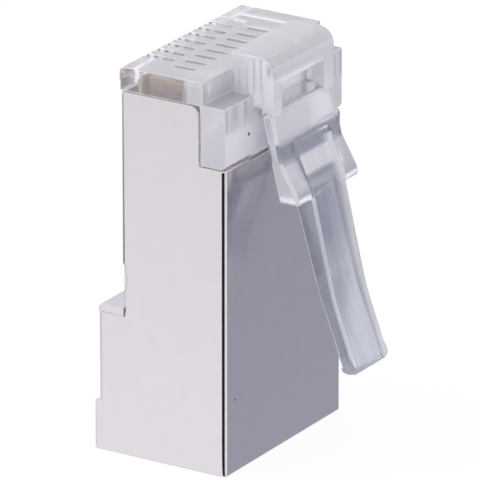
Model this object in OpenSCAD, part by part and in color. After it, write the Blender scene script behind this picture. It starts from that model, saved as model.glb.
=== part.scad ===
// Shielded eight-way modular plug: a clear housing with a sprung latch, a folded shield and gold blades.
// It stands on its cable end. The origin is on the axis of the cable bore, at the rear face.
// +Z runs to the nose, -Y faces the latch and +Y faces the contacts. Depths count from the latch face.

/* [Shield] */
// Overall width over the shield
plug_w = 11.68; // [11:0.02:14]
// Distance from the cable axis to the outer face of the latch panel
latch_face = 4; // [3.8:0.05:4.6]
// Thickness of the sheet
sheet = 0.25; // [0.15:0.01:0.3]
// Outer radius of every fold in the sheet
bend_r = 0.3; // [0.28:0.01:0.34]
// Height of the side panels
side_h = 20.32; // [19:0.02:26]
// Drop from the top of the side panels to the top of the latch panel
notch_drop = 3.27; // [2.6:0.01:4]
// Depth of the notch in the top of each side panel
notch_depth = 1.56; // [1.2:0.01:2]
// Radius of the corner above that notch
notch_corner_r = 0.6; // [0.4:0.1:1.4]
// Width of the shallow dip in the top of the latch panel, under the latch
dip_w = 6.6; // [6.2:0.1:8]
// Depth of that dip
dip_d = 0.13; // [0.05:0.01:0.3]
// Depth of the side panels at their raw rear edge
rear_depth = 8.08; // [7.9:0.02:9]
// Height of the plain band at the rear
rear_band_h = 2.8; // [1.5:0.1:4]
// Depth over the folded rear flanges
flange_depth = 7.87; // [7.6:0.01:8.2]
// Height of the side panels' shoulder, where they narrow
shoulder_h = 7.8; // [7:0.1:9]
// Width of each rear flange
flange_w = 2.5; // [1:0.1:3.2]
// Depth over the folded front lips
front_depth = 6.42; // [6.2:0.01:6.7]
// Width of each front lip
lip_w = 1.2; // [0.7:0.1:1.5]
// Length of the cut-back edge between the shoulder and the front lips
lip_relief = 2.9; // [2:0.1:4]
// Rise of the shoulder's folded cover above the side panels' shoulder
cover_rise = 0.45; // [0.35:0.05:0.6]
// Setback of that cover's turned-down sides from the side panels' outer faces
cover_setback = 0.06; // [0.02:0.02:0.12]
// Width of the relief slit between those sides and the side panels' edge
cover_slit = 0.12; // [0.08:0.02:0.2]
// Gap between the upstand at the inner end of that cover and the front lips
upstand_gap = 0.2; // [0.1:0.05:0.6]
// Length of the shallow scallop in the side panels' edge beside the upstand
scallop_len = 1.2; // [0.6:0.1:1.6]
// Depth of that scallop
scallop_d = 0.12; // [0.05:0.01:0.25]
// Play between the shield and the housing
shield_play = 0.03; // [0.01:0.01:0.08]

/* [Housing] */
// Rise of the nose above the side panels
nose_rise = 1.38; // [1.2:0.02:2]
// Gap between the nose and the top edge of the shield
nose_gap = 0.05; // [0.02:0.01:0.15]
// Setback of the nose from the latch face
nose_setback = 1.35; // [1.2:0.05:1.7]
// Drop from the nose front to the ledge beside the latch
ledge_drop = 1.25; // [1:0.05:1.4]
// Height of the lip along the contact edge of the nose
nose_lip_h = 0.95; // [0.7:0.05:1.2]
// How far that lip stands out past the shield
nose_lip_out = 0.05; // [0.02:0.01:0.2]
// Radius of the edges of that lip
nose_lip_r = 0.35; // [0.1:0.05:0.4]
// Bevel where the latch face runs under the shield
face_bevel = 0.2; // [0.05:0.05:0.24]
// Radius of the moulded vertical edges
edge_r = 0.2; // [0.1:0.05:0.3]

/* [Cable entry] */
// Radius of the bore for the cable jacket
bore_r = 3; // [2:0.05:3.1]
// Depth of the bore below the shoulder
bore_roof = 0.6; // [0.4:0.1:1.5]
// Height of the funnel that leads the wires to their channels
funnel_h = 5.5; // [4:0.1:7]
// Width of the strain-relief bar
bar_w = 4; // [2.5:0.1:4.2]
// Height of the strain-relief bar
bar_h = 3; // [2:0.1:3.4]
// Width of the slit round the strain-relief bar
bar_slit = 0.35; // [0.2:0.05:0.5]
// Reach of the funnel's foot from the cable axis towards the latch
funnel_back = 2.4; // [1.8:0.1:2.6]
// Reach of the funnel's foot from the cable axis towards the contacts
funnel_front = 1.05; // [0.6:0.05:1.3]

/* [Wires and contacts] */
// Number of wires and contacts
wire_count = 8; // [4:2:8]
// Spacing of the wires
wire_pitch = 1.016; // [0.95:0.001:1.1]
// Width of each wire channel
channel_w = 0.8; // [0.5:0.05:0.85]
// Depth of each wire channel
channel_d = 1.25; // [0.8:0.05:1.4]
// Depth of the latch-side wall behind the wire channels
channel_wall = 2.15; // [1.8:0.05:2.4]
// Thickness of the wall in front of the channels
front_wall = 0.8; // [0.5:0.05:1.2]
// Length of the comb that parts the channels behind that wall
comb_len = 2; // [1.5:0.1:6]
// Thickness of each contact blade
blade_t = 0.35; // [0.2:0.01:0.4]
// Length of each blade along the plug
blade_len = 3.4; // [2.5:0.1:4]
// How far the blades stand out of the housing's contact face
blade_proud = 0.2; // [0:0.05:0.25]
// Height of each blade from its contact edge to the foot of its prongs
blade_h = 2; // [1.6:0.05:2.1]
// Length of the prongs
prong_len = 1.1; // [0.8:0.05:1.2]
// Number of prongs on each blade
prong_count = 3; // [2:1:3]
// How far the prongs' points spread to the ends of the blade, where 1 is an even spacing
prong_spread = 1.35; // [1:0.05:1.4]
// Radius of the blade's front contact corner
blade_r = 0.6; // [0.3:0.05:0.8]
// Setback of the blades from the nose front
blade_setback = 0.85; // [0.7:0.05:1.2]
// Play between a blade and its slot
blade_play = 0.02; // [0.01:0.01:0.05]
// Depth of the part of each slot that opens through the nose front
slot_mouth = 1.9; // [1:0.05:2]
// Headroom over the blade in the closed part of each slot
slot_head = 0.2; // [0.05:0.05:0.4]

/* [Latch] */
// Rise of the latch root above the nose front
root_rise = 0.9; // [0.5:0.05:1.2]
// How far the latch root stands out from the latch face
root_out = 1.2; // [1:0.05:1.5]
// Radius of the latch root's outer edge
root_r = 0.9; // [0.5:0.05:1]
// Width of the latch arm, root and shoulders
arm_w = 6.1; // [5.5:0.1:6.5]
// Thickness of the latch arm
arm_t = 0.66; // [0.5:0.02:0.8]
// Angle of the latch arm from the body
arm_angle = 13; // [8:0.5:16]
// Drop from the top of the root to the bending line
hinge_drop = 3.4; // [3.2:0.05:3.8]
// Play round the bending line
hinge_play = 0.04; // [0.02:0.01:0.08]
// Length of the legs between the root and the bending line
leg_len = 0.6; // [0.45:0.05:0.8]
// Width of the window between the legs
window_w = 4.2; // [3:0.1:4.6]
// Height of the window above the bending line
window_h = 1.9; // [1.2:0.05:2]
// Distance from the bending line to the start of the shoulders' ramp
ramp_start = 2.45; // [2:0.05:3]
// Distance from the bending line to the end of that ramp
ramp_end = 4.2; // [3.8:0.05:4.4]
// Distance from the bending line to the locking face
lock_dist = 4.54; // [4.4:0.02:5]
// Thickness of the shoulders outside the arm's middle
shoulder_out = 0.87; // [0.6:0.01:0.92]
// Width of the thumb tab
tab_w = 3.3; // [2.6:0.1:4]
// Distance from the bending line to the end of the tab
tab_end = 14.45; // [12.5:0.05:16]
// Distance of the tab's outer face from the arm's middle
tab_out = 0.94; // [0.88:0.01:1.1]
// Distance of the tab's raised root from the arm's middle
tab_root_out = 0.6; // [0.5:0.01:0.8]
// Distance from the bending line to the tab's raised root
tab_root_start = 1.5; // [1.2:0.05:1.9]
// Thickness of the tab at its tip
tip_t = 0.85; // [0.6:0.05:1]
// Distance from the bending line to the start of the tab's outward curve
curl_start = 9.3; // [8:0.1:10]
// Length of that curve
curl_len = 2; // [1:0.1:2.4]
// Slope of the tab beyond the curve
curl_slope = 0.13; // [0:0.01:0.25]
// Radius of the tab's corners
tab_corner_r = 0.5; // [0.2:0.05:0.8]

/* [Hidden] */
$fn = 48;

clear_plastic = [0.86, 0.86, 0.9, 0.45];
nickel = [0.78, 0.77, 0.79];
gold = [0.86, 0.68, 0.33];

// Heights that follow from the driving sizes
latch_panel_h = side_h - notch_drop;
lip_start = shoulder_h + lip_relief;
skin = sheet + shield_play;
cover_top = shoulder_h + cover_rise;
step_z = shoulder_h - shield_play;
upstand_top = lip_start - upstand_gap;
nose_z = side_h + nose_gap;
nose_top = side_h + nose_rise;
ledge_z = nose_top - ledge_drop;
root_top = nose_top + root_rise;
hinge_z = root_top - hinge_drop;
bore_len = shoulder_h - bore_roof;
funnel_top = bore_len + funnel_h;
channel_top = nose_top - front_wall;
comb_z = channel_top - comb_len;
blade_top = nose_top - blade_setback;
blade_foot = blade_top - blade_len;

// Depths of the housing inside the shield
core_half_w = plug_w / 2 - skin;
front_in = front_depth - skin;
flange_in = flange_depth - skin;
lip_face = front_depth + nose_lip_out;
channel_far = channel_wall + channel_d;
blade_edge = front_in + blade_proud;
prong_base = blade_edge - blade_h;
prong_tip = prong_base - prong_len;
slot_floor = prong_tip - blade_play;
slot_w = blade_t + 2 * blade_play;

// The latch's bending line, and the tab's thickness where it leaves the locking face
hinge_out = root_out - arm_t / 2;
arm_half = arm_t / 2;
tab_root_t = tab_out + arm_half;
overshoot = 1;
overlap = 0.1;
curve_steps = 8;

// Y of a depth counted from the latch face
function at_depth(d) = d - latch_face;

// X of the middle of wire i
function wire_x(i) = (i - (wire_count + 1) / 2) * wire_pitch;

// Bend line's share of the tab's outward curve, as a rise over the straight tab
function curl(s) =
    s < curl_start ? 0 :
    s < curl_start + curl_len ? curl_slope * pow(s - curl_start, 2) / (2 * curl_len) :
    curl_slope * (s - curl_start - curl_len / 2);

// Thickness of the tab, tapering evenly from the locking face to the end of the curve
function tab_t(s) =
    let (share = (s - lock_dist) / (curl_start + curl_len - lock_dist))
    tab_root_t + (tip_t - tab_root_t) * min(1, max(0, share));

// Distance along the arm of the level locking face, at a distance out from the arm's middle
function lock_s(out) = lock_dist + out * tan(arm_angle);

// A profile drawn with Y to the right and Z up, carried across the plug's width
module across(w) {
    rotate([90, 0, 90])
        linear_extrude(height = w, center = true)
            children();
}

// A rectangle with round corners at its latch side and its contact side
module round_slab(half_w, y_low, y_high, r_low, r_high) {
    union() {
        translate([-half_w, y_low + r_low])
            square([2 * half_w, y_high - y_low - r_low - r_high]);
        translate([-half_w + r_low, y_low])
            square([2 * (half_w - r_low), y_high - y_low]);
        for (side = [-1, 1]) {
            translate([side * (half_w - r_low), y_low + r_low])
                circle(r_low);
            translate([side * (half_w - r_high), y_high - r_high])
                circle(r_high);
        }
    }
}

// Section of the sheet where two lips fold over the contact side
module lipped_section(depth, lip) {
    inner_r = bend_r - sheet;
    difference() {
        round_slab(plug_w / 2, at_depth(0), at_depth(depth), bend_r, bend_r);
        round_slab(plug_w / 2 - sheet, at_depth(sheet), at_depth(depth - sheet), inner_r, inner_r);
        translate([-plug_w / 2 + lip, at_depth(depth / 2)])
            square([plug_w - 2 * lip, depth]);
    }
}

// Section of the sheet where the sides end in raw edges
module raw_section(depth) {
    intersection() {
        lipped_section(depth + bend_r, bend_r);
        translate([-plug_w, at_depth(-overshoot)])
            square([2 * plug_w, depth + overshoot]);
    }
}

// A length of a section between two heights
module folded_length(z_low, z_high) {
    translate([0, 0, z_low])
        linear_extrude(height = z_high - z_low)
            children();
}

// Side profile of the folded cover over the shoulder: it turns in off the flange and up at the front face
module cover_profile() {
    face = at_depth(flange_depth);
    front = at_depth(front_depth);
    translate([front - sheet, cover_top - sheet])
        square([face - front + sheet - bend_r, sheet]);
    translate([face - sheet, shoulder_h - overshoot])
        square([sheet, cover_rise + overshoot - bend_r]);
    translate([face - bend_r, cover_top - bend_r])
        intersection() {
            square(bend_r);
            difference() {
                circle(bend_r);
                circle(bend_r - sheet);
            }
        }
    translate([front - sheet, cover_top - sheet])
        square([sheet, upstand_top - cover_top + sheet]);
}

// Side profile of the cover's turned-down sides, which stand on the shoulder of the side panels
module cover_side_profile() {
    face = at_depth(flange_depth);
    start = at_depth(front_depth - sheet) + cover_slit;
    translate([start, shoulder_h])
        square([face - start, cover_rise - bend_r]);
    translate([start, shoulder_h])
        square([face - start - bend_r, cover_rise]);
    translate([face - bend_r, cover_top - bend_r])
        intersection() {
            square(bend_r);
            circle(bend_r);
        }
}

// Shallow arc taken out of the side panels' edge between the shoulder and the front lips
module scallop_outline() {
    arc_r = (pow(scallop_len / 2, 2) + pow(scallop_d, 2)) / (2 * scallop_d);
    translate([at_depth(front_depth - sheet) - scallop_d + arc_r, upstand_top - scallop_len / 2])
        circle(arc_r);
}

// Outline of the notch that frees the latch at the top of the shield, with the round corner above it
module notch_outline() {
    edge = at_depth(notch_depth);
    translate([at_depth(-overshoot), latch_panel_h])
        square([notch_depth + overshoot, notch_drop + overshoot]);
    difference() {
        translate([edge - overshoot, side_h - notch_corner_r])
            square([notch_corner_r + overshoot, notch_corner_r + overshoot]);
        translate([edge + notch_corner_r, side_h - notch_corner_r])
            circle(notch_corner_r);
    }
}

// One folded sheet of nickel-plated metal round three sides of the plug
module shield() {
    color(nickel)
    difference() {
        union() {
            folded_length(0, rear_band_h)
                raw_section(rear_depth);
            folded_length(rear_band_h, shoulder_h)
                lipped_section(flange_depth, flange_w);
            difference() {
                folded_length(shoulder_h, lip_start)
                    raw_section(front_depth - sheet);
                across(plug_w + overshoot)
                    scallop_outline();
            }
            folded_length(lip_start, side_h)
                lipped_section(front_depth, lip_w);
        }
        across(plug_w + overshoot)
            notch_outline();
        translate([-dip_w / 2, at_depth(-overshoot), latch_panel_h - dip_d])
            cube([dip_w, overshoot + skin, notch_drop]);
    }
    color(nickel)
    for (side = [-1, 1]) {
        translate([side * (plug_w - bend_r - flange_w) / 2, 0, 0])
            across(flange_w - bend_r)
                cover_profile();
        translate([side * (plug_w - bend_r - cover_setback - overlap) / 2, 0, 0])
            across(bend_r - cover_setback + overlap)
                cover_side_profile();
    }
}

// Outside of the housing's body below the nose
module housing_core() {
    intersection() {
        linear_extrude(height = step_z)
            round_slab(core_half_w, at_depth(skin), at_depth(flange_in), edge_r, edge_r);
        across(plug_w)
            polygon([
                [at_depth(0), 0],
                [at_depth(flange_in), 0],
                [at_depth(flange_in), step_z - edge_r],
                [at_depth(flange_in - edge_r), step_z],
                [at_depth(0), step_z]
            ]);
    }
    linear_extrude(height = min(nose_z, ledge_z))
        round_slab(core_half_w, at_depth(skin), at_depth(front_in), edge_r, edge_r);
    linear_extrude(height = (nose_z + nose_top) / 2)
        round_slab(core_half_w, at_depth(nose_setback), at_depth(front_in), edge_r, edge_r);
}

// The nose, with the round-edged lip along its contact side
module nose() {
    lip_high = nose_top - nose_lip_r;
    lip_low = nose_top - nose_lip_h + nose_lip_r;
    across(plug_w)
    union() {
        translate([at_depth(nose_setback), nose_z])
            square([front_depth - nose_setback, lip_low - nose_z]);
        translate([at_depth(nose_setback), nose_z])
            square([lip_face - nose_lip_r - nose_setback, nose_top - nose_z]);
        translate([at_depth(nose_setback), lip_low])
            square([lip_face - nose_setback, lip_high - lip_low]);
        for (z = [lip_low, lip_high])
            translate([at_depth(lip_face) - nose_lip_r, z])
                circle(nose_lip_r);
    }
}

// A width of the bare latch face, flush with the shield, with a bevel along its lower edge
module latch_face_block(w, z_low) {
    across(w)
        polygon([
            [at_depth(notch_depth - nose_gap), z_low],
            [at_depth(face_bevel), z_low],
            [at_depth(0), z_low + face_bevel],
            [at_depth(0), ledge_z],
            [at_depth(notch_depth - nose_gap), ledge_z]
        ]);
}

// The root of the latch: a round-edged block on the ledge, whose two legs reach down to the bending line
module latch_root() {
    outer = at_depth(-root_out);
    difference() {
        across(arm_w)
        union() {
            translate([outer + root_r, hinge_z + leg_len])
                square([nose_setback + root_out - root_r, root_top - hinge_z - leg_len]);
            translate([outer, hinge_z])
                square([arm_t, root_top - hinge_z - root_r]);
            translate([outer, hinge_z + leg_len])
                square([root_r, root_top - hinge_z - leg_len - root_r]);
            translate([outer + root_r, root_top - root_r])
                circle(root_r);
        }
        translate([-window_w / 2, outer - overshoot, hinge_z - overshoot])
            cube([window_w, root_out + overshoot - nose_gap, window_h + overshoot]);
        translate([0, at_depth(-hinge_out), hinge_z])
            rotate([0, 90, 0])
                cylinder(r = arm_half + hinge_play, h = arm_w + overshoot, center = true);
    }
}

// The hollow that the cable and its wires fill: round bore, funnel, flat passage and one channel per wire
module cable_hollow() {
    translate([0, 0, -overshoot])
        cylinder(r = bore_r, h = bore_len + overshoot);
    across(wire_count * wire_pitch)
        polygon([
            [-funnel_back, bore_len - overlap],
            [funnel_front, bore_len - overlap],
            [at_depth(channel_far), funnel_top],
            [at_depth(channel_wall), funnel_top]
        ]);
    translate([-wire_count * wire_pitch / 2, at_depth(channel_wall), funnel_top - overlap])
        cube([wire_count * wire_pitch, channel_d, comb_z - funnel_top + overlap]);
    for (i = [1 : wire_count])
        translate([wire_x(i) - channel_w / 2, at_depth(channel_wall), comb_z - overlap])
            cube([channel_w, channel_d, comb_len + overlap]);
}

// The slot of one contact: it holds the blade, and its upper part opens through the nose front
module contact_slot(i) {
    x = wire_x(i) - slot_w / 2;
    translate([x, at_depth(slot_floor), blade_foot - blade_play])
        cube([slot_w, lip_face - slot_floor + overshoot, blade_len + slot_head + blade_play]);
    translate([x, at_depth(lip_face - slot_mouth), blade_foot - blade_play])
        cube([slot_w, slot_mouth + overshoot, nose_top - blade_foot + overshoot]);
}

// Slit round three sides of the strain-relief bar, which stays joined along its nose side
module bar_slit_cut() {
    mid_z = (rear_band_h + shoulder_h) / 2;
    reach = flange_depth;
    difference() {
        translate([-bar_w / 2 - bar_slit, 0, mid_z - bar_h / 2 - bar_slit])
            cube([bar_w + 2 * bar_slit, reach, bar_h + bar_slit]);
        translate([-bar_w / 2, -overshoot, mid_z - bar_h / 2])
            cube([bar_w, reach + 2 * overshoot, bar_h + overshoot]);
    }
}

// The clear moulding that carries everything else
module housing() {
    color(clear_plastic)
    difference() {
        union() {
            housing_core();
            nose();
            latch_face_block(plug_w, latch_panel_h + nose_gap);
            latch_face_block(dip_w - 2 * nose_gap, latch_panel_h - dip_d + nose_gap);
            latch_root();
        }
        cable_hollow();
        bar_slit_cut();
        for (i = [1 : wire_count])
            contact_slot(i);
    }
}

// Side profile of the arm with its round end on the bending line and the locking shoulders
module arm_profile() {
    circle(arm_half);
    polygon([
        [arm_half, 0],
        [arm_half, -lock_s(-arm_half)],
        [-shoulder_out, -lock_s(shoulder_out)],
        [-shoulder_out, -ramp_end],
        [-arm_half, -ramp_start],
        [-arm_half, 0]
    ]);
}

// Side profile of the thumb tab, from its raised root to its round tip
module tab_profile() {
    tip_mid = tab_end - tip_t / 2;
    step = (tip_mid - curl_start) / curve_steps;
    curve = [for (k = [0 : curve_steps]) curl_start + k * step];
    back = [for (k = [0 : curve_steps]) tip_mid - k * step];
    outer = [for (s = curve) [-tab_out - curl(s), -s]];
    inner = [for (s = back) [-tab_out - curl(s) + tab_t(s), -s]];
    polygon(concat(
        [
            [arm_half, -tab_root_start],
            [-arm_half, -tab_root_start],
            [-tab_root_out, -tab_root_start - tab_root_out + arm_half],
            [-tab_root_out, -ramp_start],
            [-tab_out, -ramp_end]
        ],
        outer,
        inner,
        [[arm_half, -lock_s(-arm_half)]]
    ));
    translate([-tab_out - curl(tip_mid) + tip_t / 2, -tip_mid])
        circle(tip_t / 2);
}

// Plan of the tab, seen from outside, with round corners at its end
module tab_plan() {
    half = tab_w / 2;
    translate([-half, -tab_end + tab_corner_r])
        square([tab_w, tab_end - tab_corner_r]);
    translate([-half + tab_corner_r, -tab_end])
        square([tab_w - 2 * tab_corner_r, tab_corner_r]);
    for (side = [-1, 1])
        translate([side * (half - tab_corner_r), -tab_end + tab_corner_r])
            circle(tab_corner_r);
}

// The sprung lever: arm, two locking shoulders and the thumb tab
module latch() {
    color(clear_plastic)
    translate([0, at_depth(-hinge_out), hinge_z])
        rotate([-arm_angle, 0, 0])
            union() {
                across(arm_w)
                    arm_profile();
                intersection() {
                    across(tab_w)
                        tab_profile();
                    translate([0, tab_end, 0])
                        rotate([90, 0, 0])
                            linear_extrude(height = 2 * tab_end)
                                tab_plan();
                }
            }
}

// Side profile of one blade: contact edge with a round front corner, and pointed prongs
module blade_profile() {
    edge = at_depth(blade_edge);
    base = at_depth(prong_base);
    step = blade_len / prong_count;
    blade_mid = blade_foot + blade_len / 2;
    translate([base, blade_foot])
        square([blade_h, blade_len - blade_r]);
    translate([base, blade_foot])
        square([blade_h - blade_r, blade_len]);
    translate([edge - blade_r, blade_top - blade_r])
        circle(blade_r);
    for (k = [0 : prong_count - 1])
        polygon([
            [base, blade_foot + k * step],
            [base, blade_foot + (k + 1) * step],
            [at_depth(prong_tip), blade_mid + (k - (prong_count - 1) / 2) * step * prong_spread]
        ]);
}

// One gold-plated blade
module contact(i) {
    color(gold)
        translate([wire_x(i), 0, 0])
            across(blade_t)
                blade_profile();
}

housing();
latch();
shield();
for (i = [1 : wire_count])
    contact(i);
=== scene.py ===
"""Looks of a shielded modular plug: clear housing and latch, bright nickel shield and gold blades.

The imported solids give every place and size. Lengths are in metres. Names that end in mm, and the places of
stops, are in millimetres.
"""

import bmesh
import bpy
import numpy as np
from bpy.props import FloatProperty, FloatVectorProperty, PointerProperty
from mathutils import Matrix, Vector


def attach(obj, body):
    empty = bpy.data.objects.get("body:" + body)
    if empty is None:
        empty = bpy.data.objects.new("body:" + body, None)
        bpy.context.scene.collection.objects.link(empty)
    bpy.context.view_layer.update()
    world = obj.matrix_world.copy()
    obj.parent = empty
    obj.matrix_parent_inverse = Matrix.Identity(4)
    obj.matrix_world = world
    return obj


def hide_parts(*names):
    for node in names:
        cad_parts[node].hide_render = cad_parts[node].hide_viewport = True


bl_info = {
    "name": "Shielded modular plug",
    "version": (1, 0, 0),
    "blender": (4, 5, 0),
    "location": "3D View > Sidebar > Plug",
    "description": "Dresses the solids of a shielded modular plug with its finishes",
    "category": "Object",
}

MM = 0.001

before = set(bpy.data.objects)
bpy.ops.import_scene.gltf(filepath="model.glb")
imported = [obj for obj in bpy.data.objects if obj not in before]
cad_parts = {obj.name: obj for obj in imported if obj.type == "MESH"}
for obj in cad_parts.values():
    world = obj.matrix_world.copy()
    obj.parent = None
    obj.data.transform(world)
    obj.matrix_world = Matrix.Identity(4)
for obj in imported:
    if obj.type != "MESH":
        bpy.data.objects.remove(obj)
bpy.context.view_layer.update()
CONTACTS = sorted(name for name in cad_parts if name.startswith("contact_"))

# Rolled edges

# Points of a solid that are closer than this are one point
MERGE_MM = 0.0005
# Neighbouring triangles that turn by less than this are one flat face
FLAT_ANGLE = np.radians(0.5)
# Edges that turn by more than this are rolled over
EDGE_ANGLE = np.radians(20)
# Edges that meet at a sharper corner than this stay sharp
CORNER_ANGLE = np.radians(25)
# Longest piece of an edge that is rolled over or left sharp as one
STRETCH_MM = 0.6
# Shading breaks at edges that still turn by more than this
BREAK_ANGLE = np.radians(35)
# Slack in the test of where a line inside a face meets its sides
TOUCH = 1e-6
# Segments across a rolled edge, and across the smaller one of a blade
EDGE_SEGMENTS = 3
BLADE_SEGMENTS = 2

# Patterns of the finishes

# Most values of a noise lie between these
NOISE_LOW, NOISE_HIGH = 0.3, 0.7
# Colour sockets of a Mix node: the two inputs and the output
MIX_FROM, MIX_TO, MIX_RESULT = 6, 7, 2
# Ripple that the flow of plastic leaves in the mould: its width, strength and depth
RIPPLE_MM = 1.6
RIPPLE_STRENGTH = 0.08
RIPPLE_DEPTH_MM = 0.05
# Flow lines of the frosted lever: their width, the axes' scales that draw them out, and change of clearness
STREAK_MM = 0.5
STREAK_SCALES = (1, 0.3, 0.1)
STREAK_CHANGE = 0.12
# Rolling grain of the sheet, drawn coarse enough to show: its width, and the axes' scales that draw it out
GRAIN_MM = 0.25
GRAIN_SCALES = (1, 1, 0.15)
# Strength and depth of the grain, and its change of roughness
GRAIN_STRENGTH = 0.06
GRAIN_DEPTH_MM = 0.01
GRAIN_CHANGE = 0.2
# Clouds in the nickel: their width, how far they shift its tints, and the places of its rear and front tint;
# the tint turns paler towards the rear, lower end
CLOUD_MM = 1.1
CLOUD_SHIFT_MM = 12
NICKEL_REAR_MM = 5
NICKEL_FRONT_MM = 27
# Tear marks on a sheared edge: their width, and the edge's least and most roughness
TEAR_MM = 0.15
TEAR_ROUGHNESS = (0.45, 0.6)
# Stamping marks on a blade: their width, and their change of roughness
STAMP_MM = 0.2
STAMP_CHANGE = 0.3
# Middle and radius of each speck of dirt, on the wall beside the latch and on the shield's latch panel
SPECKS_MM = (((-3.48, -4, 18.46), 0.1), ((2.97, -4, 17.43), 0.05))
NICKEL_SPECKS_MM = (((-4.85, -4, 4.1), 0.07),)
# Soft rim of a speck, as a share of its radius
SPECK_RIM = 0.3

# Start of the row of grey dashes of painted shade on the nose front, over the slots' closed ends that lie
# beneath it, and their spacing
DASH_START_MM = (-4.35, 0)
SLOT_PITCH_MM = 1.016
# Where the row of dashes fades in and out along X and Y: places from its start, and the share of grey there
DASH_FADES_MM = (((-0.5, 0), (-0.4, 1), (7.5, 1), (7.6, 0)), ((-1.35, 0), (-1.15, 1), (-0.1, 1), (0.05, 0)))
# A dash is full grey up to the first distance from its middle line, and gone at the second
DASH_FULL_MM, DASH_GONE_MM = 0.05, 0.18

# Middle and half width of the dark stripes of painted shade on the wall beside the latch, where the wire
# channels lie behind it
STRIPES_MM = ((3.82, 0.16), (4.84, 0.28), (5.66, 0.11))
# A stripe is full dark up to the first share of its half width, and gone at the second
STRIPE_FULL, STRIPE_GONE = 0.5, 1.5
# The wall behind the lever is matt up to the first distance from the middle, and clear from the second
MATT_MM, CLEAR_MM = 1.5, 2
# The wall loses its stripes and its matt middle from the first height down to the second
STRIPES_FULL_MM, STRIPES_LOST_MM = 19.1, 18.9
# The housing turns clearer from the first place to the second along Y, away from the latch
HAZY_MM, CLEARER_MM = -1.75, -1.45

# Places on a blade along Y, and the setting for the tint there
GOLD_STOPS = (
    (-0.75, "colour"), (1.45, "colour"), (1.55, "brown_band_colour"), (1.88, "brown_band_colour"),
    (1.98, "edge_colour"), (2.34, "edge_colour"))

# Finishes of the shield, the housing and the latch, in the order of their materials
SHIELD = ("sheet", "cover", "edge")
HOUSING = ("polished", "nose_front", "latch_side", "root", "ledge", "core", "edge")
LATCH = ("arm", "side", "tab", "flank", "edge")
# What the latch's finishes are made from. A stop is a height, and the settings for the tint and haze there.
# Pale bands and bands of the darker latch tint along the height paint light and shade on the lever.
LATCH_LOOKS = {
    "arm": {"name": "arm and shoulders", "stops": (
        (14.7, "colour", "inner_haze"), (15.05, "colour", "inner_haze"), (15.2, "latch_colour", "arm_haze"),
        (15.8, "colour", "arm_haze"), (16.7, "colour", "arm_haze"), (17, "latch_colour", "latch_haze"),
        (17.75, "latch_colour", "latch_haze"), (17.95, "colour", "arm_haze"), (19.5, "colour", "arm_haze"))},
    "side": {"name": "side of the arm", "stops": (
        (14.7, "colour", "inner_haze"), (15.05, "colour", "inner_haze"), (15.3, "colour", "arm_haze"),
        (19.5, "colour", "arm_haze"))},
    "tab": {"name": "thumb tab", "zone": ("X", 0.6, 1.4, "colour", "ramp_haze"), "frosted": True, "stops": (
        (5, "latch_colour", "latch_haze"), (9, "latch_colour", "latch_haze"),
        (11, "latch_colour", "arm_haze"), (13, "latch_colour", "latch_haze"),
        (15.95, "latch_colour", "latch_haze"), (16.15, "colour", "ramp_haze"),
        (16.95, "colour", "ramp_haze"), (17.15, "latch_colour", "latch_haze"),
        (17.8, "latch_colour", "latch_haze"))},
    # The tab's flanks take a darker tint: painted shade
    "flank": {"name": "flank of the tab", "frosted": True, "stops": (
        (5, "latch_colour", "latch_haze"), (6.5, "flank_shade", "latch_haze"),
        (16, "flank_shade", "latch_haze"))},
    "edge": {"name": "rolled edge of the latch", "stops": (
        (5, "colour", "edge_haze"), (7, "latch_colour", "edge_haze"), (14.5, "latch_colour", "edge_haze"),
        (15, "colour", "edge_haze"), (16.9, "colour", "edge_haze"), (17.05, "latch_colour", "latch_haze"),
        (17.85, "latch_colour", "latch_haze"), (18, "colour", "edge_haze"), (19.5, "colour", "edge_haze"))},
}

# Where the finishes lie

# A face looks along an axis if its normal has more than this along it
SQUARE = 0.9
# A face looks upwards if its normal rises by more than this
RISING = 0.3
# The nose front and the root's top reach higher than this
NOSE_MM = 21.5
# The wall beside the latch, and the front of the root on it, lie further out along Y than these
LATCH_WALL_MM = -3.9
ROOT_MM = -4.3
# The ledge beside the root lies further out along Y than this, and between these heights
LEDGE_DEPTH_MM = -2.6
LEDGE_FOOT_MM = 20
LEDGE_TOP_MM = 20.6
# Half width, reach along Y and top of the room for the wires. The walls of the contact slots reach higher
CORE_HALF_MM = 5.3
CORE_BACK_MM = -3.75
CORE_FRONT_MM = 2.1
CORE_TOP_MM = 20.4
# Half width of the thumb tab, and its top
TAB_HALF_MM = 1.7
TAB_TOP_MM = 17.9
# The shoulder covers lie further along Y and higher than these
COVER_DEPTH_MM = 2.2
COVER_FOOT_MM = 7.9
# The rear folds lie further along Y than this, and their normals have more than these along X and Y
FOLD_DEPTH_MM = 3.5
FOLD_ACROSS = 0.2
FOLD_BACK = 0.1

# Stage

# Half width of the floor and the end of the camera's sight, in metres
FLOOR_HALF = 1.5
SIGHT_END = 10
# Levels of the floor and of the cards on it, just under the plug
FLOOR_LEVEL_MM = -0.03
CARD_LEVEL_MM = -0.01
# Outer radius of the cards, and how many points they have round the fan and along it
CARD_REACH_MM = 120
CARD_TURNS, CARD_RINGS = 33, 17
# Each card's apex in millimetres, first and last angle in degrees, inner radius in millimetres, and material
CARDS = {
    "card_latch": ((-5.7, -3.95), 302, 390, 0.02, "grey card"),
    "card_camera": ((-5.7, -3.95), 187, 246, 0.02, "black card"),
    "card_back": ((-5.7, 2.2), 20, 112, 2.4, "grey card"),
}
WHITE = (1, 1, 1, 1)


def linear(hex_colour):
    """Linear RGB of an sRGB hex colour: the straight toe below 0.04045, the 2.4 power curve above it."""
    srgb = np.array([int(hex_colour[i:i + 2], 16) for i in (1, 3, 5)]) / 255
    curve = np.where(srgb <= 0.04045, srgb / 12.92, ((srgb + 0.055) / 1.055) ** 2.4)
    return tuple(float(part) for part in curve)


# What all colours have in common as settings, and all shares
COLOUR = {"subtype": "COLOR", "size": 3, "min": 0, "max": 1}
SHARE = {"subtype": "FACTOR", "min": 0, "max": 1}


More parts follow.
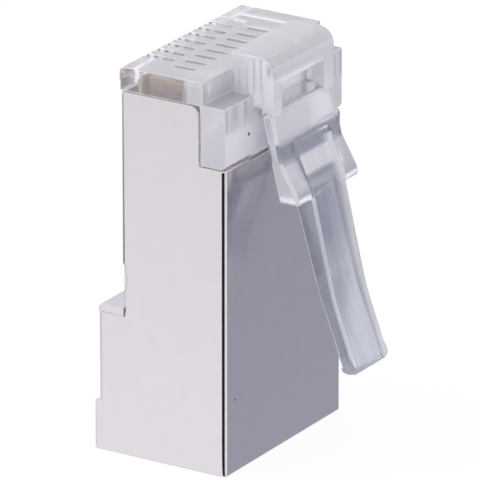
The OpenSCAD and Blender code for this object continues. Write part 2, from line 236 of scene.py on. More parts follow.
class PlasticSettings(bpy.types.PropertyGroup):
    """Finish of the clear housing and latch"""

    colour: FloatVectorProperty(
        name="Colour", description="Tint of the clear plastic", default=linear("#F6F5FC"), **COLOUR)
    latch_colour: FloatVectorProperty(
        name="Latch colour", description="Tint of the clear lever", default=linear("#D0D3DF"), **COLOUR)
    # Painted shade: the darker tint of the tab's two sides
    flank_shade: FloatVectorProperty(
        name="Flank colour", description="Tint of the tab's sides, which are thick along the line of sight",
        default=linear("#A9ACB8"), **COLOUR)
    # Painted shade: the grey of the dashes on the nose front, over the slots' closed ends
    slot_dash_shade: FloatVectorProperty(
        name="Slot shade", description="Tint of the nose front where the slots' closed ends show through it",
        default=linear("#A4A3AF"), **COLOUR)
    # Painted shade: the dark stripes on the wall beside the latch, and the darker ledge beside the root
    comb_colour: FloatVectorProperty(
        name="Comb shade", description="Tint of the wall where the dark wire channels show through it",
        default=linear("#DCDCE4"), **COLOUR)
    dirt_colour: FloatVectorProperty(
        name="Dirt", description="Colour of the specks of dirt on the plastic", default=linear("#3A3A40"),
        **COLOUR)
    front_haze: FloatProperty(
        name="Haze at the contacts", description="Share of light that the housing scatters at the contacts",
        default=0.18, **SHARE)
    back_haze: FloatProperty(
        name="Haze at the latch", description="Share of light that the housing scatters at its latch side",
        default=0.45, **SHARE)
    side_haze: FloatProperty(
        name="Haze of the latch side", description="Share of light that the wall beside the latch scatters",
        default=0.5, **SHARE)
    top_haze: FloatProperty(
        name="Haze of the nose front", description="Share of light that nose front and root's top scatter",
        default=0.42, **SHARE)
    latch_haze: FloatProperty(
        name="Haze of the latch", description="Share of light that the sprung lever scatters", default=0.16,
        **SHARE)
    arm_haze: FloatProperty(
        name="Haze of the arm", description="Share of light that the lever's arm scatters", default=0.38,
        **SHARE)
    ramp_haze: FloatProperty(
        name="Haze of the ramps", description="Share of light that the ramps of the shoulders scatter",
        default=0.48, **SHARE)
    inner_haze: FloatProperty(
        name="Haze of inner faces", description="Share of light that the matt inner faces scatter",
        default=0.85, **SHARE)
    edge_haze: FloatProperty(
        name="Haze of edges", description="Share of light that the rolled edges scatter, where it leaves",
        default=0.5, **SHARE)
    roughness: FloatProperty(
        name="Roughness", description="Roughness of the moulded surface", default=0.1, **SHARE)
    latch_roughness: FloatProperty(
        name="Latch roughness", description="Roughness of the worn and frosted lever", default=0.25, **SHARE)
    bending: FloatProperty(
        name="Refraction", description="How strongly the clear plastic bends light", min=1, max=2,
        default=1.3)
    housing_edge_mm: FloatProperty(
        name="Housing edge (mm)", description="Round of the housing's edges", min=0.01, max=0.2, default=0.06)
    latch_edge_mm: FloatProperty(
        name="Latch edge (mm)", description="Round of the latch's edges", min=0.01, max=0.3, default=0.16)


class NickelSettings(bpy.types.PropertyGroup):
    """Finish of the folded shield"""

    colour: FloatVectorProperty(
        name="Colour", description="Reflection colour of the nickel", default=linear("#D7D2D8"), **COLOUR)
    # The sheet's tint turns paler towards its rear, lower end
    rear_colour: FloatVectorProperty(
        name="Rear colour", description="Reflection colour of the paler nickel at the rear",
        default=linear("#E2DDE2"), **COLOUR)
    # Painted reflection: a grey mirror image on the shoulder covers and rear folds
    cover_grey_reflection: FloatVectorProperty(
        name="Cover colour", description="Reflection colour of the duller shoulder covers and rear folds",
        default=linear("#CBC8D4"), **COLOUR)
    edge_colour: FloatVectorProperty(
        name="Edge colour", description="Reflection colour of the sheared edges", default=linear("#E6DFDC"),
        **COLOUR)
    dirt_colour: FloatVectorProperty(
        name="Dirt", description="Colour of the specks of dirt on the nickel", default=linear("#6A6870"),
        **COLOUR)
    roughness: FloatProperty(
        name="Roughness", description="Roughness of the rolled sheet", default=0.12, **SHARE)
    edge_mm: FloatProperty(
        name="Edge (mm)", description="Round of the sheared edges", min=0.005, max=0.1, default=0.08)


class GoldSettings(bpy.types.PropertyGroup):
    """Finish of the contact blades"""

    colour: FloatVectorProperty(
        name="Colour", description="Reflection colour of the gold", default=linear("#F4D2A0"), **COLOUR)
    # Tints of bands along the blade: a brown band, then a pale band at the contact edge
    brown_band_colour: FloatVectorProperty(
        name="Bare colour", description="Reflection colour where the bronze shows", default=linear("#A8683C"),
        **COLOUR)
    edge_colour: FloatVectorProperty(
        name="Edge colour", description="Reflection colour of the contact edge", default=linear("#FFF0CC"),
        **COLOUR)
    roughness: FloatProperty(
        name="Roughness", description="Roughness of the plated blade", default=0.5, **SHARE)
    edge_mm: FloatProperty(
        name="Edge (mm)", description="Round of the coined edges", min=0.005, max=0.1, default=0.03)


class StageSettings(bpy.types.PropertyGroup):
    """Camera, floor and light"""

    azimuth: FloatProperty(
        name="Azimuth (degrees)", description="Turn of the camera round the plug", default=-58.10)
    elevation: FloatProperty(
        name="Elevation (degrees)", description="Height of the camera over the horizon", default=20.55)
    distance: FloatProperty(
        name="Distance", description="Distance from the camera to its aim", subtype="DISTANCE", unit="LENGTH",
        default=0.4484)
    lens: FloatProperty(
        name="Focal length", description="Focal length on a 36 mm sensor", subtype="DISTANCE_CAMERA",
        unit="CAMERA", default=637.5)
    aim: FloatVectorProperty(
        name="Aim", description="Point that the camera looks at", subtype="TRANSLATION", unit="LENGTH",
        size=3, default=(0.000772, -0.000812, 0.01060))
    floor_colour: FloatVectorProperty(
        name="Floor", description="Colour of the pale floor", default=linear("#F7F7F8"), **COLOUR)
    floor_glow: FloatProperty(
        name="Floor whiteness", description="Share of plain white in the floor that the eye and mirrors see",
        default=0.93, **SHARE)
    card_colour: FloatVectorProperty(
        name="Grey card", description="Colour of the grey cards that the metal mirrors",
        default=linear("#ABACB8"), **COLOUR)
    dark_card_colour: FloatVectorProperty(
        name="Black card", description="Colour of the black card that the metal mirrors",
        default=linear("#2A272A"), **COLOUR)
    daylight: FloatProperty(
        name="Daylight", description="Level of the even light from all sides", min=0, max=4, default=1.0)
    key_power: FloatProperty(
        name="Key lamp", description="Power of the soft lamp over the plug", subtype="POWER", unit="POWER",
        default=0.6)
    key_size: FloatProperty(
        name="Key lamp size", description="Width of the soft lamp", subtype="DISTANCE", unit="LENGTH",
        default=0.25)
    key_place: FloatVectorProperty(
        name="Key lamp place", description="Place of the soft lamp, which points at the origin",
        subtype="TRANSLATION", unit="LENGTH", size=3, default=(-0.16, 0.22, 0.36))


def add_node(tree, kind, inputs=None, **settings):
    """Adds a node with its settings. Each of its inputs takes a plain value or the output of another node."""
    node = tree.nodes.new(kind)
    for name, value in settings.items():
        setattr(node, name, value)
    for socket, value in (inputs or {}).items():
        if isinstance(value, bpy.types.NodeSocket):
            tree.links.new(value, node.inputs[socket])
        else:
            node.inputs[socket].default_value = value
    return node


def new_material(name):
    """A material with an empty node tree, and that tree."""
    material = bpy.data.materials.new(name)
    material.use_nodes = True
    material.node_tree.nodes.clear()
    return material, material.node_tree


def looks_along(tree, source, stops):
    """Colour and alpha along a length, which source gives in metres.

    Stops are (millimetres, colour, alpha) in rising order.
    """
    first, last = stops[0][0], stops[-1][0]
    along = add_node(
        tree, "ShaderNodeMapRange", {"Value": source, "From Min": first * MM, "From Max": last * MM})
    ramp = add_node(tree, "ShaderNodeValToRGB", {"Fac": along.outputs["Result"]})
    elements = ramp.color_ramp.elements
    elements.remove(elements[1])
    for count, (place, colour, alpha) in enumerate(stops):
        spot = (place - first) / (last - first)
        element = elements.new(spot) if count else elements[0]
        element.position = spot
        element.color = (*colour, alpha)
    return ramp.outputs["Color"], ramp.outputs["Alpha"]


def uneven(tree, place, width_mm, low, high, detail=3):
    """A noise with spots of that width, and a level that wanders with it between low and high."""
    noise = add_node(
        tree, "ShaderNodeTexNoise", {"Vector": place, "Scale": 1 / (width_mm * MM), "Detail": detail})
    level = add_node(tree, "ShaderNodeMapRange", {
        "Value": noise.outputs["Fac"], "From Min": NOISE_LOW, "From Max": NOISE_HIGH,
        "To Min": low, "To Max": high})
    return noise.outputs["Fac"], level.outputs["Result"]


def specked(tree, place, tint, specks_mm, dirt):
    """A tint with round specks of dirt over it, each with its middle and radius."""
    for middle, radius in specks_mm:
        apart = add_node(
            tree, "ShaderNodeVectorMath", {0: place, 1: [part * MM for part in middle]}, operation="DISTANCE")
        inside = add_node(
            tree, "ShaderNodeMapRange", {
                "Value": apart.outputs["Value"], "From Min": (1 + SPECK_RIM) * radius * MM,
                "From Max": (1 - SPECK_RIM) * radius * MM},
            interpolation_type="SMOOTHSTEP")
        mix = add_node(
            tree, "ShaderNodeMix", {0: inside.outputs["Result"], MIX_FROM: tint, MIX_TO: (*dirt, 1)},
            data_type="RGBA")
        tint = mix.outputs[MIX_RESULT]
    return tint


def moulded(tree, settings, place, tint, clear, roughness):
    """Gives a tree the surface of the clear plastic, with the ripple that its flow leaves in the mould."""
    flow = add_node(tree, "ShaderNodeTexNoise", {"Vector": place, "Scale": 1 / (RIPPLE_MM * MM), "Detail": 2})
    ripple = add_node(tree, "ShaderNodeBump", {
        "Height": flow.outputs["Fac"], "Strength": RIPPLE_STRENGTH, "Distance": RIPPLE_DEPTH_MM * MM})
    shader = add_node(tree, "ShaderNodeBsdfPrincipled", {
        "Base Color": tint, "Transmission Weight": clear, "Roughness": roughness, "IOR": settings.bending,
        "Normal": ripple.outputs["Normal"]})
    add_node(tree, "ShaderNodeOutputMaterial", {"Surface": shader.outputs["BSDF"]})


def clear_polycarbonate(settings, name, stops, axis="Z", zone=None, specks_mm=(), frosted=False):
    """Clear polycarbonate, injection moulded: bright edges, soft grey depth and a faint flow ripple.

    A stop is a place along the axis, and the settings for the tint and haze there, as the eye looks through
    more or less plastic. One stop alone holds everywhere. A zone is an axis, the two places where it starts
    and is full, and the settings for its own tint and haze. Specks are dots of dirt. A frosted finish is
    rougher, with flow lines along the lever.
    """
    material, tree = new_material("clear polycarbonate, " + name)
    place = add_node(tree, "ShaderNodeTexCoord").outputs["Object"]
    looks = [(spot, getattr(settings, tint), 1 - getattr(settings, haze)) for spot, tint, haze in stops]
    tint, clear = (*looks[0][1], 1), looks[0][2]
    if len(looks) > 1:
        axes = add_node(tree, "ShaderNodeSeparateXYZ", {"Vector": place})
        tint, clear = looks_along(tree, axes.outputs[axis], looks)
    if zone:
        across, start, full, zone_tint, zone_haze = zone
        sides = add_node(tree, "ShaderNodeSeparateXYZ", {"Vector": place})
        share = add_node(
            tree, "ShaderNodeMapRange",
            {"Value": sides.outputs[across], "From Min": start * MM, "From Max": full * MM},
            interpolation_type="SMOOTHSTEP").outputs["Result"]
        tint = add_node(
            tree, "ShaderNodeMix", {0: share, MIX_FROM: tint, MIX_TO: (*getattr(settings, zone_tint), 1)},
            data_type="RGBA").outputs[MIX_RESULT]
        clear = add_node(tree, "ShaderNodeMapRange", {
            "Value": share, "To Min": clear, "To Max": 1 - getattr(settings, zone_haze)}).outputs["Result"]
    tint = specked(tree, place, tint, specks_mm, settings.dirt_colour)
    roughness = settings.roughness
    if frosted:
        roughness = settings.latch_roughness
        along = add_node(tree, "ShaderNodeMapping", {"Vector": place, "Scale": STREAK_SCALES})
        change = uneven(tree, along.outputs["Vector"], STREAK_MM, 1 - STREAK_CHANGE, 1 + STREAK_CHANGE)[1]
        clear = add_node(
            tree, "ShaderNodeMath", {0: clear, 1: change}, operation="MULTIPLY", use_clamp=True).outputs[0]
    moulded(tree, settings, place, tint, clear, roughness)
    return material


def nose_front(settings):
    """Clear polycarbonate of the nose front: a pale skin with grey dashes of painted shade over the closed
    ends of the slots.
    """
    material, tree = new_material("clear polycarbonate, nose front")
    place = add_node(tree, "ShaderNodeTexCoord").outputs["Object"]
    axes = add_node(tree, "ShaderNodeSeparateXYZ", {"Vector": place})
    along = add_node(
        tree, "ShaderNodeMath", {0: axes.outputs["X"], 1: DASH_START_MM[0] * MM}, operation="SUBTRACT")
    apart = add_node(
        tree, "ShaderNodeMath", {0: along.outputs[0], 1: SLOT_PITCH_MM / 2 * MM}, operation="PINGPONG")
    shares = []
    for axis, start, fade in zip("XY", DASH_START_MM, DASH_FADES_MM):
        stops = [(start + reach, settings.colour, grey) for reach, grey in fade]
        shares.append(looks_along(tree, axes.outputs[axis], stops)[1])
    field = add_node(tree, "ShaderNodeMath", dict(enumerate(shares)), operation="MULTIPLY")
    dash = add_node(
        tree, "ShaderNodeMapRange", {
            "Value": apart.outputs[0], "From Min": DASH_GONE_MM * MM, "From Max": DASH_FULL_MM * MM,
            "To Max": field.outputs[0]},
        interpolation_type="SMOOTHSTEP")
    # Painted shade: the dashes turn the plastic's tint towards the grey
    mix = add_node(
        tree, "ShaderNodeMix", {
            0: dash.outputs["Result"], MIX_FROM: (*settings.colour, 1), MIX_TO: (*settings.slot_dash_shade, 1)},
        data_type="RGBA")
    moulded(tree, settings, place, mix.outputs[MIX_RESULT], 1 - settings.top_haze, settings.roughness)
    return material


def bright_nickel(settings, name, front_tint, rear_tint):
    """Bright nickel plate on rolled sheet: a soft, clouded mirror with a fine grain along the rolling, its
    tint going from the rear tint up to the front tint.
    """
    material, tree = new_material("bright nickel, " + name)
    place = add_node(tree, "ShaderNodeTexCoord").outputs["Object"]
    along = add_node(tree, "ShaderNodeMapping", {"Vector": place, "Scale": GRAIN_SCALES})
    grain, roughness = uneven(
        tree, along.outputs["Vector"], GRAIN_MM, settings.roughness * (1 - GRAIN_CHANGE),
        settings.roughness * (1 + GRAIN_CHANGE))
    lines = add_node(tree, "ShaderNodeBump", {
        "Height": grain, "Strength": GRAIN_STRENGTH, "Distance": GRAIN_DEPTH_MM * MM})
    axes = add_node(tree, "ShaderNodeSeparateXYZ", {"Vector": place})
    cloud = add_node(tree, "ShaderNodeTexNoise", {"Vector": place, "Scale": 1 / (CLOUD_MM * MM), "Detail": 4})
    height = add_node(
        tree, "ShaderNodeMath", {0: cloud.outputs["Fac"], 1: CLOUD_SHIFT_MM * MM, 2: axes.outputs["Z"]},
        operation="MULTIPLY_ADD")
    tint = looks_along(
        tree, height.outputs[0], ((NICKEL_REAR_MM, rear_tint, 1), (NICKEL_FRONT_MM, front_tint, 1)))[0]
    shader = add_node(tree, "ShaderNodeBsdfPrincipled", {
        "Base Color": specked(tree, place, tint, NICKEL_SPECKS_MM, settings.dirt_colour),
        "Metallic": 1, "Roughness": roughness, "Normal": lines.outputs["Normal"]})
    add_node(tree, "ShaderNodeOutputMaterial", {"Surface": shader.outputs["BSDF"]})
    return material


def sheared_edge(settings):
    """Sheared and plated edge of the sheet: bright and soft, with fine tear marks across it."""
    material, tree = new_material("nickel on sheared edge")
    place = add_node(tree, "ShaderNodeTexCoord").outputs["Object"]
    roughness = uneven(tree, place, TEAR_MM, *TEAR_ROUGHNESS, detail=2)[1]
    shader = add_node(tree, "ShaderNodeBsdfPrincipled", {
        "Base Color": (*settings.edge_colour, 1), "Metallic": 1, "Roughness": roughness})
    add_node(tree, "ShaderNodeOutputMaterial", {"Surface": shader.outputs["BSDF"]})
    return material


def gold_plate(settings):
    """Gold plate on a stamped bronze blade: warm, satin faces, then a brown band and a pale band towards the
    contact edge.
    """
    material, tree = new_material("gold plate on stamped bronze")
    place = add_node(tree, "ShaderNodeTexCoord").outputs["Object"]
    axes = add_node(tree, "ShaderNodeSeparateXYZ", {"Vector": place})
    stops = [(spot, getattr(settings, tint), 1) for spot, tint in GOLD_STOPS]
    roughness = uneven(
        tree, place, STAMP_MM, settings.roughness * (1 - STAMP_CHANGE),
        settings.roughness * (1 + STAMP_CHANGE))[1]
    shader = add_node(tree, "ShaderNodeBsdfPrincipled", {
        "Base Color": looks_along(tree, axes.outputs["Y"], stops)[0], "Metallic": 1, "Roughness": roughness})
    add_node(tree, "ShaderNodeOutputMaterial", {"Surface": shader.outputs["BSDF"]})
    return material


def face_room(face):
    """Free width of a face beside each of its edges, from the middle of the edge straight into the face.

    A line from middle m along d meets the side from p along s where m + t d = p + u s. Crossing both ends
    with s leaves t, and with d leaves u. The least t above zero, with u between 0 and 1, is the width.
    """
    corner = np.array([loop.vert.co for loop in face.loops])
    normal = np.array(face.normal)
    side = np.roll(corner, -1, axis=0) - corner
    middle = corner + side / 2
    inward = np.cross(normal, side)
    inward /= np.linalg.norm(inward, axis=1)[:, None]
    apart = corner[None] - middle[:, None]
    meet = np.cross(inward[:, None], side[None]) @ normal
    with np.errstate(divide="ignore", invalid="ignore"):
        reach = (np.cross(apart, side[None]) @ normal) / meet
        share = (np.cross(apart, inward[:, None]) @ normal) / meet
    hit = (reach > TOUCH) & (share > -TOUCH) & (share < 1 + TOUCH)
    return np.where(hit, reach, np.inf).min(axis=1)


def mark_rounds(work, edge_mm):
    """Marks the edges to roll over: those that turn sharply, save beside narrow faces and in thin points."""
    layer = work.edges.layers.float.new("bevel_weight_edge")
    for edge in list(work.edges):
        edge[layer] = float(edge.calc_face_angle(0) > EDGE_ANGLE)
        count = int(np.ceil(edge.calc_length() / STRETCH_MM)) if edge[layer] else 1
        start = edge.verts[0]
        for left in range(count, 1, -1):
            start = bmesh.utils.edge_split(edge, start, 1 / left)[1]
    for face in work.faces:
        for loop, width in zip(face.loops, face_room(face)):
            if width < 2 * edge_mm:
                loop.edge[layer] = 0
            if loop.calc_angle() < CORNER_ANGLE:
                loop.edge[layer] = 0
                loop.link_loop_prev.edge[layer] = 0


def softened_copy(node, name, edge_mm, segments, materials, edge):
    """A piece in the shape of a solid, with each sharp edge rolled over by a small round.

    The solid's triangles are merged, flat neighbours become one face, and a bevel of edge_mm rounds every
    edge that mark_rounds picks. The work is done in millimetres, where such small rounds are exact. The faces
    take the first of the materials, and the rolled edges take the one that edge counts to.
    """
    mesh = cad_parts[node].data.copy()
    mesh.materials.clear()
    for material in materials:
        mesh.materials.append(material)
    mesh.transform(Matrix.Scale(1 / MM, 4))
    work = bmesh.new()
    work.from_mesh(mesh)
    bmesh.ops.remove_doubles(work, verts=work.verts, dist=MERGE_MM)
    bmesh.ops.dissolve_limit(work, angle_limit=FLAT_ANGLE, verts=work.verts, edges=work.edges)
    mark_rounds(work, edge_mm)
    work.to_mesh(mesh)
    work.free()
    mesh.shade_smooth()
    piece = bpy.data.objects.new(name, mesh)
    bpy.context.scene.collection.objects.link(piece)
    bevel = piece.modifiers.new("rolled edges", "BEVEL")
    bevel.width = edge_mm
    bevel.segments = segments
    bevel.limit_method = "WEIGHT"
    bevel.use_clamp_overlap = False
    bevel.material = edge
    graph = bpy.context.evaluated_depsgraph_get()
    rolled = bpy.data.meshes.new_from_object(piece.evaluated_get(graph), depsgraph=graph)
    piece.modifiers.clear()
    piece.data = rolled
    bpy.data.meshes.remove(mesh)
    rolled.name = name
    rolled.transform(Matrix.Scale(MM, 4))
    rolled.set_sharp_from_angle(angle=BREAK_ANGLE)
    flat = piece.modifiers.new("flat faces stay flat", "WEIGHTED_NORMAL")
    flat.keep_sharp = True
    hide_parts(node)
    return piece


def carried(piece, body):
    """Puts a piece on its body."""
    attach(piece, body)


def face_table(mesh):
    """Middle and normal of each face, its highest point and its material. Lengths are in millimetres."""
    count = len(mesh.polygons)
    middle, normal = np.zeros(count * 3), np.zeros(count * 3)
    mesh.polygons.foreach_get("center", middle)
    mesh.polygons.foreach_get("normal", normal)
    points = np.zeros(len(mesh.vertices) * 3)
    mesh.vertices.foreach_get("co", points)
    corners = np.zeros(len(mesh.loops), dtype=np.int32)
    mesh.loops.foreach_get("vertex_index", corners)
    first, finish = np.zeros(count, dtype=np.int32), np.zeros(count, dtype=np.int32)
    mesh.polygons.foreach_get("loop_start", first)
    mesh.polygons.foreach_get("material_index", finish)
    top = np.maximum.reduceat(points[2::3][corners], first) / MM
    return middle.reshape(-1, 3).T / MM, normal.reshape(-1, 3).T, top, finish


def finish_shield(mesh):
    """Picks out the tops of the two shoulder covers and the folds of the rear flanges below them, for the
    painted grey reflection.
    """
    middle, normal, _, finish = face_table(mesh)
    deep, high = middle[1:]
    cover = (normal[2] > RISING) & (deep > COVER_DEPTH_MM) & (high > COVER_FOOT_MM)
    fold = (abs(normal[0]) > FOLD_ACROSS) & (normal[1] > FOLD_BACK) & (deep > FOLD_DEPTH_MM)
    finish[(finish == SHIELD.index("sheet")) & (cover | fold)] = SHIELD.index("cover")
    mesh.polygons.foreach_set("material_index", finish)


def finish_housing(mesh):
    """Sorts the housing's faces: the nose front, the wall, root and ledge at the latch, and the matt core."""
    (across, deep, high), normal, top, finish = face_table(mesh)
    plain = finish == HOUSING.index("polished")
    upward = plain & (normal[2] > RISING)
    outward = plain & (normal[1] < -SQUARE)
    ledge = (deep < LEDGE_DEPTH_MM) & (top < LEDGE_TOP_MM) & (high > LEDGE_FOOT_MM)
    core = (abs(across) < CORE_HALF_MM) & (deep > CORE_BACK_MM) & (deep < CORE_FRONT_MM)
    finish[upward & (top > NOSE_MM)] = HOUSING.index("nose_front")
    finish[outward & (deep < LATCH_WALL_MM)] = HOUSING.index("latch_side")
    finish[outward & (deep < ROOT_MM)] = HOUSING.index("root")
    finish[upward & ledge] = HOUSING.index("ledge")
    finish[plain & core & (top < CORE_TOP_MM)] = HOUSING.index("core")
    mesh.polygons.foreach_set("material_index", finish)


def finish_latch(mesh):
    """Sorts the latch's faces: the sides of the arm, the tab's front and back, and the tab's two flanks."""
    middle, normal, top, finish = face_table(mesh)
    plain = finish == LATCH.index("arm")
    tab = plain & (abs(middle[0]) < TAB_HALF_MM) & (top < TAB_TOP_MM)
    upright = plain & (abs(normal[0]) > SQUARE)
    finish[upright] = LATCH.index("side")
    finish[tab] = LATCH.index("tab")
    finish[tab & upright] = LATCH.index("flank")
    mesh.polygons.foreach_set("material_index", finish)


def wall_stops():
    """Tint and haze across the wall beside the latch: matt behind the lever, with stripes of painted shade on
    both sides.
    """
    stops = [
        (-CLEAR_MM, "colour", "side_haze"), (-MATT_MM, "colour", "inner_haze"),
        (MATT_MM, "colour", "inner_haze"), (CLEAR_MM, "colour", "side_haze")]
    stripe = (
        (-STRIPE_GONE, "colour"), (-STRIPE_FULL, "comb_colour"), (STRIPE_FULL, "comb_colour"),
        (STRIPE_GONE, "colour"))
    for middle, half in STRIPES_MM:
        for side in (-1, 1):
            stops += [(side * middle + shift * half, tint, "side_haze") for shift, tint in stripe]
    return sorted(stops)


class PLUG_OT_shield(bpy.types.Operator):
    """Makes the folded nickel shield"""

    bl_idname = "plug.shield"
    bl_label = "Shield"

    def execute(self, context):
        settings = context.scene.plug_nickel
        materials = (
            bright_nickel(settings, "rolled sheet", settings.colour, settings.rear_colour),
            # The covers and rear folds take a painted grey reflection
            bright_nickel(settings, "shoulder cover", settings.cover_grey_reflection, settings.cover_grey_reflection),
            sheared_edge(settings))
        piece = softened_copy(
            "shield", "nickel_shield", settings.edge_mm, EDGE_SEGMENTS, materials, SHIELD.index("edge"))
        finish_shield(piece.data)
        carried(piece, "plug_body")
        return {"FINISHED"}


class PLUG_OT_mouldings(bpy.types.Operator):
    """Makes the clear housing and the clear latch"""

    bl_idname = "plug.mouldings"
    bl_label = "Housing and latch"

    def execute(self, context):
        settings = context.scene.plug_plastic
        polished = ((HAZY_MM, "colour", "back_haze"), (CLEARER_MM, "colour", "front_haze"))
        plain_wall = ("Z", STRIPES_FULL_MM, STRIPES_LOST_MM, "colour", "side_haze")
        housing = self.moulding("housing", "plug_body", settings.housing_edge_mm, HOUSING, {
            "polished": clear_polycarbonate(settings, "polished mould", polished, "Y"),
            "nose_front": nose_front(settings),
            "latch_side": clear_polycarbonate(
                settings, "latch side", wall_stops(), "X", plain_wall, SPECKS_MM),
            "root": clear_polycarbonate(settings, "latch root", ((0, "colour", "side_haze"),)),
            # The ledge takes the darker tint of the stripes: painted shade
            "ledge": clear_polycarbonate(settings, "ledge", ((0, "comb_colour", "back_haze"),)),
            "core": clear_polycarbonate(settings, "matt core", ((0, "colour", "inner_haze"),)),
            "edge": clear_polycarbonate(settings, "rolled edge", ((0, "colour", "edge_haze"),)),
        })
        finish_housing(housing.data)
        latch = self.moulding("latch", "latch_lever", settings.latch_edge_mm, LATCH, {
            finish: clear_polycarbonate(settings, **looks) for finish, looks in LATCH_LOOKS.items()
        })
        finish_latch(latch.data)
        return {"FINISHED"}

    def moulding(self, node, body, edge_mm, finishes, materials):
        """A clear piece with rolled edges, on its body."""
        piece = softened_copy(
            node, "clear_" + node, edge_mm, EDGE_SEGMENTS, [materials[name] for name in finishes],
            finishes.index("edge"))
        carried(piece, body)
        return piece


class PLUG_OT_contacts(bpy.types.Operator):
    """Makes the row of gold blades"""

    bl_idname = "plug.contacts"
    bl_label = "Contacts"

    def execute(self, context):
        settings = context.scene.plug_gold
        gold = gold_plate(settings)
        for node in CONTACTS:
            piece = softened_copy(node, "gold_" + node, settings.edge_mm, BLADE_SEGMENTS, (gold,), 0)
            carried(piece, "plug_body")
        return {"FINISHED"}


def fan_card(name, apex_mm, first_degrees, last_degrees, near_mm):
    """A flat card like an open fan: angles run evenly, and each radius is a fixed multiple of the last."""
    angle = np.radians(np.linspace(first_degrees, last_degrees, CARD_TURNS))
    radius = np.geomspace(near_mm, CARD_REACH_MM, CARD_RINGS)
    turn, out = np.meshgrid(angle, radius)
    x = apex_mm[0] + out * np.cos(turn)
    y = apex_mm[1] + out * np.sin(turn)
    points = np.stack([x, y, np.full_like(out, CARD_LEVEL_MM)], axis=-1)
    rows, columns = out.shape
    corner = (np.arange(rows - 1)[:, None] * columns + np.arange(columns - 1)).ravel()
    faces = np.stack([corner, corner + columns, corner + columns + 1, corner + 1], axis=-1)
    mesh = bpy.data.meshes.new(name)
    mesh.from_pydata((points.reshape(-1, 3) * MM).tolist(), [], faces.tolist())
    card = bpy.data.objects.new(name, mesh)
    bpy.context.scene.collection.objects.link(card)
    card.visible_camera = False
    card.visible_diffuse = False
    card.visible_transmission = False
    card.visible_shadow = False
    return card


def glowing_card(name, colour):
    """Even light from a card, as a mirror sees it."""
    material, tree = new_material(name)
    light = add_node(tree, "ShaderNodeEmission", {"Color": (*colour, 1)})
    add_node(tree, "ShaderNodeOutputMaterial", {"Surface": light.outputs["Emission"]})
    return material


def seen_ray(tree):
    """1 for what the eye sees straight, in a mirror or through plastic, and 0 for light on a surface."""
    path = add_node(tree, "ShaderNodeLightPath")
    seen = path.outputs["Is Camera Ray"]
    for kind in ("Is Glossy Ray", "Is Transmission Ray"):
        either = add_node(tree, "ShaderNodeMath", {0: seen, 1: path.outputs[kind]}, operation="MAXIMUM")
        seen = either.outputs[0]
    return seen


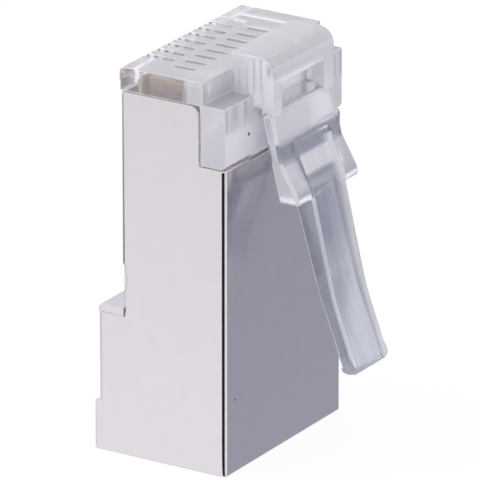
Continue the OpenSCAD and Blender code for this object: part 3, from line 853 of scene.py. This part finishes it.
class PLUG_OT_stage(bpy.types.Operator):
    """Makes the camera, the pale floor, the cards on it and the soft light"""

    bl_idname = "plug.stage"
    bl_label = "Camera, floor and light"

    def execute(self, context):
        scene = context.scene
        settings = scene.plug_stage
        scene.view_settings.view_transform = "Standard"
        self.camera(scene, settings)
        self.floor(scene, settings)
        self.cards(settings)
        self.light(scene, settings)
        return {"FINISHED"}

    def camera(self, scene, settings):
        """The camera looks at the aim from its azimuth and elevation."""
        turn, rise = np.radians((settings.azimuth, settings.elevation))
        back = Vector((np.sin(turn) * np.cos(rise), -np.cos(turn) * np.cos(rise), np.sin(rise)))
        camera = bpy.data.objects.new("camera", bpy.data.cameras.new("camera"))
        camera.data.lens = settings.lens
        camera.data.clip_end = SIGHT_END
        camera.location = Vector(settings.aim) + back * settings.distance
        camera.rotation_euler = back.to_track_quat("Z", "Y").to_euler()
        scene.collection.objects.link(camera)
        scene.camera = camera

    def floor(self, scene, settings):
        """A pale card: the eye and mirrors see it almost white, and it keeps a light shadow."""
        mesh = bpy.data.meshes.new("floor")
        corners = ((-1, -1), (1, -1), (1, 1), (-1, 1))
        mesh.from_pydata(
            [(x * FLOOR_HALF, y * FLOOR_HALF, FLOOR_LEVEL_MM * MM) for x, y in corners], [], [(0, 1, 2, 3)])
        floor = bpy.data.objects.new("floor", mesh)
        scene.collection.objects.link(floor)
        material, tree = new_material("pale card")
        lit = add_node(tree, "ShaderNodeBsdfDiffuse", {"Color": (*settings.floor_colour, 1)})
        white = add_node(tree, "ShaderNodeEmission", {"Color": WHITE})
        share = add_node(
            tree, "ShaderNodeMath", {0: seen_ray(tree), 1: settings.floor_glow}, operation="MULTIPLY")
        mix = add_node(
            tree, "ShaderNodeMixShader",
            {0: share.outputs[0], 1: lit.outputs["BSDF"], 2: white.outputs["Emission"]})
        add_node(tree, "ShaderNodeOutputMaterial", {"Surface": mix.outputs["Shader"]})
        mesh.materials.append(material)

    def cards(self, settings):
        """Cards on the floor that only mirrors see: two grey ones, and a black one towards the camera."""
        colours = {"grey card": settings.card_colour, "black card": settings.dark_card_colour}
        materials = {name: glowing_card(name, colour) for name, colour in colours.items()}
        for name, (*fan, material) in CARDS.items():
            card = fan_card(name, *fan)
            card.data.materials.append(materials[material])

    def light(self, scene, settings):
        """A white room all round, and a soft lamp over the plug that mirrors and clear plastic don't show."""
        world = bpy.data.worlds.new("white room")
        scene.world = world
        world.use_nodes = True
        tree = world.node_tree
        tree.nodes.clear()
        level = add_node(
            tree, "ShaderNodeMapRange", {"Value": seen_ray(tree), "To Min": settings.daylight, "To Max": 1})
        sky = add_node(tree, "ShaderNodeBackground", {"Color": WHITE, "Strength": level.outputs["Result"]})
        add_node(tree, "ShaderNodeOutputWorld", {"Surface": sky.outputs["Background"]})

        lamp = bpy.data.lights.new("key", "AREA")
        lamp.energy = settings.key_power
        lamp.size = settings.key_size
        key = bpy.data.objects.new("key", lamp)
        key.location = settings.key_place
        key.rotation_euler = Vector(settings.key_place).to_track_quat("Z", "Y").to_euler()
        key.visible_glossy = False
        key.visible_transmission = False
        scene.collection.objects.link(key)


# Each operator, and the settings that it reads from the scene
STEPS = {
    PLUG_OT_stage: ("plug_stage", StageSettings),
    PLUG_OT_shield: ("plug_nickel", NickelSettings),
    PLUG_OT_mouldings: ("plug_plastic", PlasticSettings),
    PLUG_OT_contacts: ("plug_gold", GoldSettings),
}


class PLUG_PT_panel(bpy.types.Panel):
    """Lists the steps that make the plug, each with its settings"""

    bl_idname = "PLUG_PT_panel"
    bl_label = "Modular plug"
    bl_space_type = "VIEW_3D"
    bl_region_type = "UI"
    bl_category = "Plug"

    def draw(self, context):
        for step, (name, group) in STEPS.items():
            self.layout.operator(step.bl_idname)
            for setting in group.__annotations__:
                self.layout.prop(getattr(context.scene, name), setting)


def register():
    """Makes the settings, the operators and the panel known to Blender."""
    for step, (name, group) in STEPS.items():
        bpy.utils.register_class(group)
        bpy.utils.register_class(step)
        setattr(bpy.types.Scene, name, PointerProperty(type=group))
    bpy.utils.register_class(PLUG_PT_panel)


def unregister():
    """Takes the panel, the operators and the settings away again."""
    bpy.utils.unregister_class(PLUG_PT_panel)
    for step, (name, group) in STEPS.items():
        delattr(bpy.types.Scene, name)
        bpy.utils.unregister_class(step)
        bpy.utils.unregister_class(group)


def main():
    """Makes the stage and every piece."""
    register()
    bpy.ops.plug.stage()
    bpy.ops.plug.shield()
    bpy.ops.plug.mouldings()
    bpy.ops.plug.contacts()


if __name__ == "__main__":
    main()
